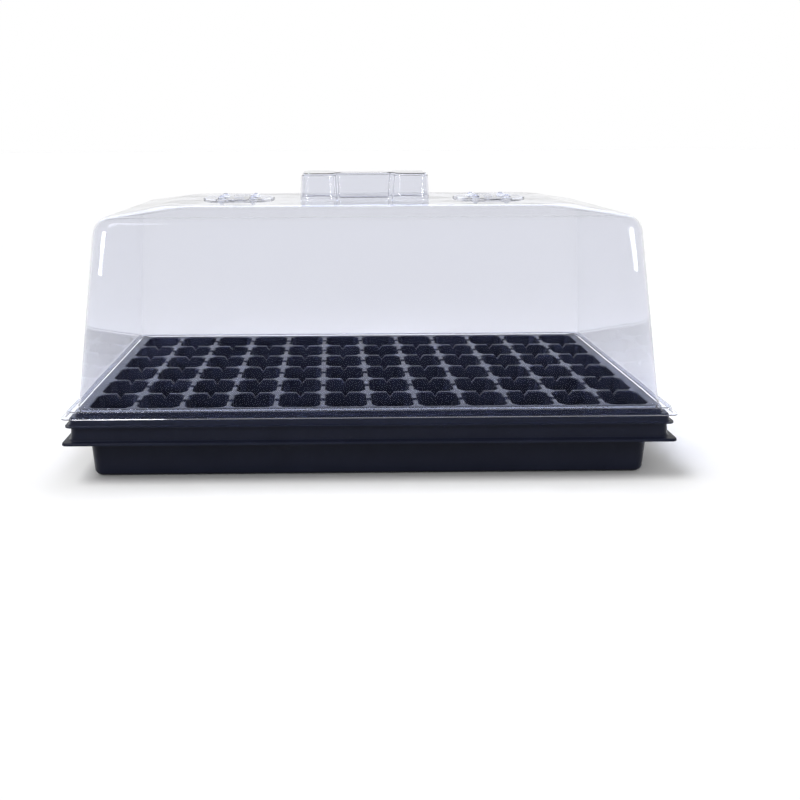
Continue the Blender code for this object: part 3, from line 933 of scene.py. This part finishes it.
@dataclass(frozen=True)
class VentDial:
    """A dial: slotted disc, finger bumps, and a pin whose head snaps in under the roof.

    Attributes:
        vent: The vent that it closes.
        slots: Its slots.
        roof: Height of the roof that it lies on.
    """

    vent: Vent
    slots: VentSlots
    roof: float
    rest_gap: float = 0.3 * MM
    sheet: float = 1.5 * MM
    edge_round: float = 0.6 * MM
    bump_count: int = 4
    bump_radius: float = 22.0 * MM  # to the middle of a bump
    bump_size: float = 4.5 * MM
    bump_draft: float = 0.7 * MM
    bump_crown: float = 1.4 * MM
    bump_crown_steps: int = 4
    bump_steps: int = 24  # edges round a bump
    boss: float = 5.0 * MM  # radius of the low boss over the pin
    boss_rise: float = 0.6 * MM
    pin: float = 3.0 * MM
    head: float = 5.0 * MM
    head_height: float = 1.6 * MM
    pin_steps: int = 32  # edges round the pin and the boss
    disc_steps: int = 72  # edges round the disc

    def _flat_circle(self, mesh: BMesh, centre: Vector, radius: float, steps: int) -> BMFace:
        """Lay a round face of this many edges in a mesh, and return it, looking up."""
        verts = bmesh.ops.create_circle(
            mesh, cap_ends=True, segments=steps, radius=radius, matrix=Matrix.Translation(centre)
        )["verts"]
        face = verts[0].link_faces[0]
        face.normal_update()
        if face.normal.z < 0:
            face.normal_flip()
        return face

    def _raised(self, mesh: BMesh, upper: float, high: float) -> None:
        """Raise the finger bumps and the boss out of the disc's upper face."""
        rise = high - upper
        hollow = self.bump_crown / 2
        profile = hollow_arc(hollow, FOLD_STEPS)
        profile.append((self.bump_draft, rise - hollow - self.bump_crown))
        profile += crown_arc(self.bump_crown, self.bump_crown_steps)
        for number in range(self.bump_count):
            turn = 2 * math.pi * (number + 0.5) / self.bump_count
            place = Vector((math.cos(turn), math.sin(turn), 0)) * self.bump_radius
            place.z = upper
            foot = self._flat_circle(mesh, place, self.bump_size, self.bump_steps)
            raise_rim(mesh, foot, profile)
        boss = self._flat_circle(mesh, Vector((0, 0, upper)), self.boss, self.pin_steps)
        raise_rim(mesh, boss, crown_arc(self.boss_rise, FOLD_STEPS))

    def build(self, finish: bpy.types.Material) -> bpy.types.Object:
        """Mould the dial out of a material, and return it."""
        low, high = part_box(self.vent.value)
        radius = (high.x - low.x) / 2
        lower = self.roof + self.rest_gap
        upper = lower + self.sheet
        mesh = bmesh.new()
        rim = bmesh.ops.create_circle(
            mesh,
            segments=self.disc_steps,
            radius=radius - self.edge_round,
            matrix=Matrix.Translation((0, 0, upper)),
        )["verts"]
        for inward, upward in reversed(crown_arc(self.edge_round, FOLD_STEPS)):
            rim = verts_of(bmesh.ops.extrude_edge_only(mesh, edges=edges_among(rim))["geom"])
            reach = Vector(rim[0].co[:2]).length
            grow = (reach + inward) / reach
            bmesh.ops.scale(mesh, vec=(grow, grow, 1.0), verts=rim)
            bmesh.ops.translate(mesh, vec=(0, 0, -upward), verts=rim)
        absorb(mesh, self.slots.outlines(Vector((0, 0, upper))))
        self._raised(mesh, upper, high.z)
        fill_flat(mesh, upper)
        sides = [e for e in mesh.edges if len(e.link_faces) == 1]
        dropped = verts_of(bmesh.ops.extrude_edge_only(mesh, edges=sides)["geom"])
        for vert in dropped:
            vert.co.z = lower
        pin = self._flat_circle(mesh, Vector((0, 0, lower)), self.pin, self.pin_steps)
        fill_flat(mesh, lower)
        head_top = low.z + self.head_height
        wider = self.head / self.pin
        for widen, level in ((1.0, head_top), (wider, head_top), (1.0 / wider, low.z)):
            pin = push_face(mesh, pin)
            bmesh.ops.scale(mesh, vec=(widen, widen, 1.0), verts=pin.verts[:])
            drop = level - pin.verts[0].co.z
            bmesh.ops.translate(mesh, vec=(0, 0, drop), verts=pin.verts[:])
        middle = self.vent.middle
        bmesh.ops.translate(mesh, vec=(middle.x, middle.y, 0), verts=mesh.verts)
        return make_piece(mesh, f"{self.vent.value}_moulding", finish)


# ---- the studio


@dataclass(frozen=True)
class Softbox:
    """A square of even light.

    Attributes:
        name: Its name.
        place: Where it stands.
        aim: The point that it faces.
        size: Its width and height.
        power: Its power in watts.
        flagged: Whether it lights all pieces and is hidden from what they mirror. Otherwise it
            shows only there, as a streak on the clear pieces.
        colour: Colour of its light.
    """

    name: str
    place: tuple[float, float, float]
    aim: tuple[float, float, float]
    size: tuple[float, float]
    power: float
    flagged: bool
    colour: str = "#ffffff"

    def light(self, lit: bpy.types.Collection) -> None:
        """Light some pieces. The paper is never among them, so that it stays even."""
        data = bpy.data.lights.new(self.name, "AREA")
        data.shape = "RECTANGLE"
        data.size, data.size_y = self.size
        data.energy = self.power
        data.color = linear(self.colour)[:3]
        facing = Vector(self.aim) - Vector(self.place)
        turned = facing.to_track_quat("-Z", "Y").to_matrix().to_4x4()
        lamp = add_object(self.name, data, Matrix.Translation(self.place) @ turned)
        lamp.light_linking.receiver_collection = lit
        lamp.visible_glossy = not self.flagged
        lamp.visible_transmission = lamp.visible_diffuse = self.flagged


@dataclass(frozen=True)
class Studio:
    """Plain white surroundings: paper floor, bright sky of light, softboxes and the camera."""

    horizon: float = 1.0
    zenith: float = 0.5
    zenith_height: float = 0.75  # sine of the height above the horizon where the sky is darkest
    level_height: float = 0.2  # sine of the height up to which it stays white
    fill: float = 1.65
    fill_spread: float = math.radians(30)
    fill_from: tuple[float, float, float] = (-0.45, -0.15, 0.9)
    floor_half: float = 14.0
    floor_drop: float = 0.2 * MM  # keeps the paper clear of the tray's underside
    camera_place: tuple[float, float, float] = (-0.0332, -0.8206, 0.3041)
    camera_pitch: float = math.radians(5.37)  # below the horizon
    camera_yaw: float = math.radians(0.61)  # towards +X
    camera_roll: float = math.radians(-0.24)
    lens: float = 36.29
    frame_shift: tuple[float, float] = (0.075, -0.2375)
    clip: tuple[float, float] = (0.01, 100.0)  # nearest and furthest that the camera sees
    boxes: tuple[Softbox, ...] = (
        Softbox("sheen_left", (-1.4, -0.75, 0.5), (0, 0, 0.2), (0.5, 0.6), 95.0, False),
        Softbox("sheen_right", (1.4, -0.8, 0.5), (0, 0, 0.2), (0.5, 0.6), 85.0, False),
        Softbox("softbox_left", (-1.36, -0.85, 0.75), (0, 0, 0.1), (0.4, 0.6), 34.0, True),
        Softbox("softbox_right", (1.4, -0.9, 0.75), (0, 0, 0.1), (0.4, 0.6), 30.0, True),
        Softbox("softbox_back", (0.0, 2.2, 0.95), (0, 0, 0.1), (3.2, 0.6), 10.0, True, "#d6e2ff"),
    )

    def _floor(self) -> bpy.types.Object:
        """Lay the paper."""
        mesh = bmesh.new()
        bmesh.ops.create_grid(mesh, x_segments=1, y_segments=1, size=self.floor_half)
        bmesh.ops.translate(mesh, vec=(0, 0, -self.floor_drop), verts=mesh.verts)
        data = bpy.data.meshes.new("paper_floor")
        mesh.to_mesh(data)
        mesh.free()
        data.materials.append(StudioPaper().material())
        return add_object("paper_floor", data)

    def _camera(self) -> None:
        """Set the camera up in front of the set's long side."""
        data = bpy.data.cameras.new("camera")
        data.lens = self.lens
        data.shift_x, data.shift_y = self.frame_shift
        data.clip_start, data.clip_end = self.clip
        place = (
            Matrix.Translation(self.camera_place)
            @ Matrix.Rotation(-self.camera_yaw, 4, "Z")
            @ Matrix.Rotation(math.pi / 2 - self.camera_pitch, 4, "X")
            @ Matrix.Rotation(self.camera_roll, 4, "Z")
        )
        bpy.context.scene.camera = add_object("camera", data, place)

    def _sky(self) -> None:
        """Surround the set with white that darkens towards the ceiling."""
        world = bpy.data.worlds.new("white_studio")
        world.use_nodes = True
        tree = world.node_tree
        view = add_node(tree, "ShaderNodeTexCoord", {}).outputs["Generated"]
        height = add_node(tree, "ShaderNodeSeparateXYZ", {"Vector": view}).outputs["Z"]
        level = remap(
            height,
            (self.level_height, self.zenith_height),
            (self.horizon, self.zenith),
            interpolation_type="SMOOTHSTEP",
        )
        feed(tree.nodes["Background"], {"Color": linear("#ffffff"), "Strength": level})
        bpy.context.scene.world = world

    def _fill(self) -> None:
        """Hang a very broad, soft lamp over the set."""
        data = bpy.data.lights.new("ceiling_fill", "SUN")
        data.energy = self.fill
        data.angle = self.fill_spread
        turned = Vector(self.fill_from).to_track_quat("Z", "Y").to_matrix().to_4x4()
        add_object("ceiling_fill", data, turned)

    def build(self, black: list[bpy.types.Object], clear: list[bpy.types.Object]) -> None:
        """Put the whole studio up.

        Args:
            black: The black pieces of the set.
            clear: Its clear pieces.
        """
        bpy.context.scene.view_settings.view_transform = "Standard"
        lit = {}
        for name, pieces in (("all_pieces", black + clear), ("clear_pieces", clear)):
            lit[name] = bpy.data.collections.new(name)
            for piece in pieces:
                lit[name].objects.link(piece)
        self._sky()
        self._camera()
        self._fill()
        for box in self.boxes:
            box.light(lit["all_pieces" if box.flagged else "clear_pieces"])
        self._floor()


# ---- the set


def place_piece(piece: bpy.types.Object, body: str, stands_for: list[str]) -> None:
    """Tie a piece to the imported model.

    Args:
        piece: The finished piece.
        body: The body that it moves with.
        stands_for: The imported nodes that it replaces.
    """
    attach(piece, body)
    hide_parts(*stands_for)
    LOG.info("%s: %d faces, on %s", piece.name, len(piece.data.polygons), body)


def main() -> None:
    """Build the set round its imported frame, then the studio."""
    logging.basicConfig(level=logging.INFO, format="%(name)s %(message)s")
    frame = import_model()
    insert = CellTray.from_frame(frame["nodes"])
    insert_finish = FormedStyrene("vacuum_formed_styrene_thin").material()
    columns = [name for name in frame["nodes"] if name.startswith("cell_column_")]
    cell_tray = insert.build(insert_finish)
    place_piece(cell_tray, "cell_tray", ["cell_tray_rim", *columns])
    water_finish = FormedStyrene("vacuum_formed_styrene_heavy", wear=0.46, polish=0.3).material()
    water_tray = WaterTray.from_frame(insert).build(water_finish)
    place_piece(water_tray, "base_tray", ["base_tray"])
    slots = VentSlots()
    dome_form = HumidityDome.from_frame(insert, [vent.middle for vent in Vent], slots)
    dome = dome_form.build(ClearSheet("clear_formed_pet").material())
    place_piece(dome, "dome", ["dome"])
    dial_finish = ClearSheet("clear_moulded_styrene", ior=1.1, wave_depth_mm=0.03).material()
    dials = [VentDial(vent, slots, dome_form.roof).build(dial_finish) for vent in Vent]
    for vent, dial in zip(Vent, dials):
        place_piece(dial, vent.value, [vent.value])
    Studio().build([cell_tray, water_tray], [dome, *dials])


if __name__ == "__main__":
    main()
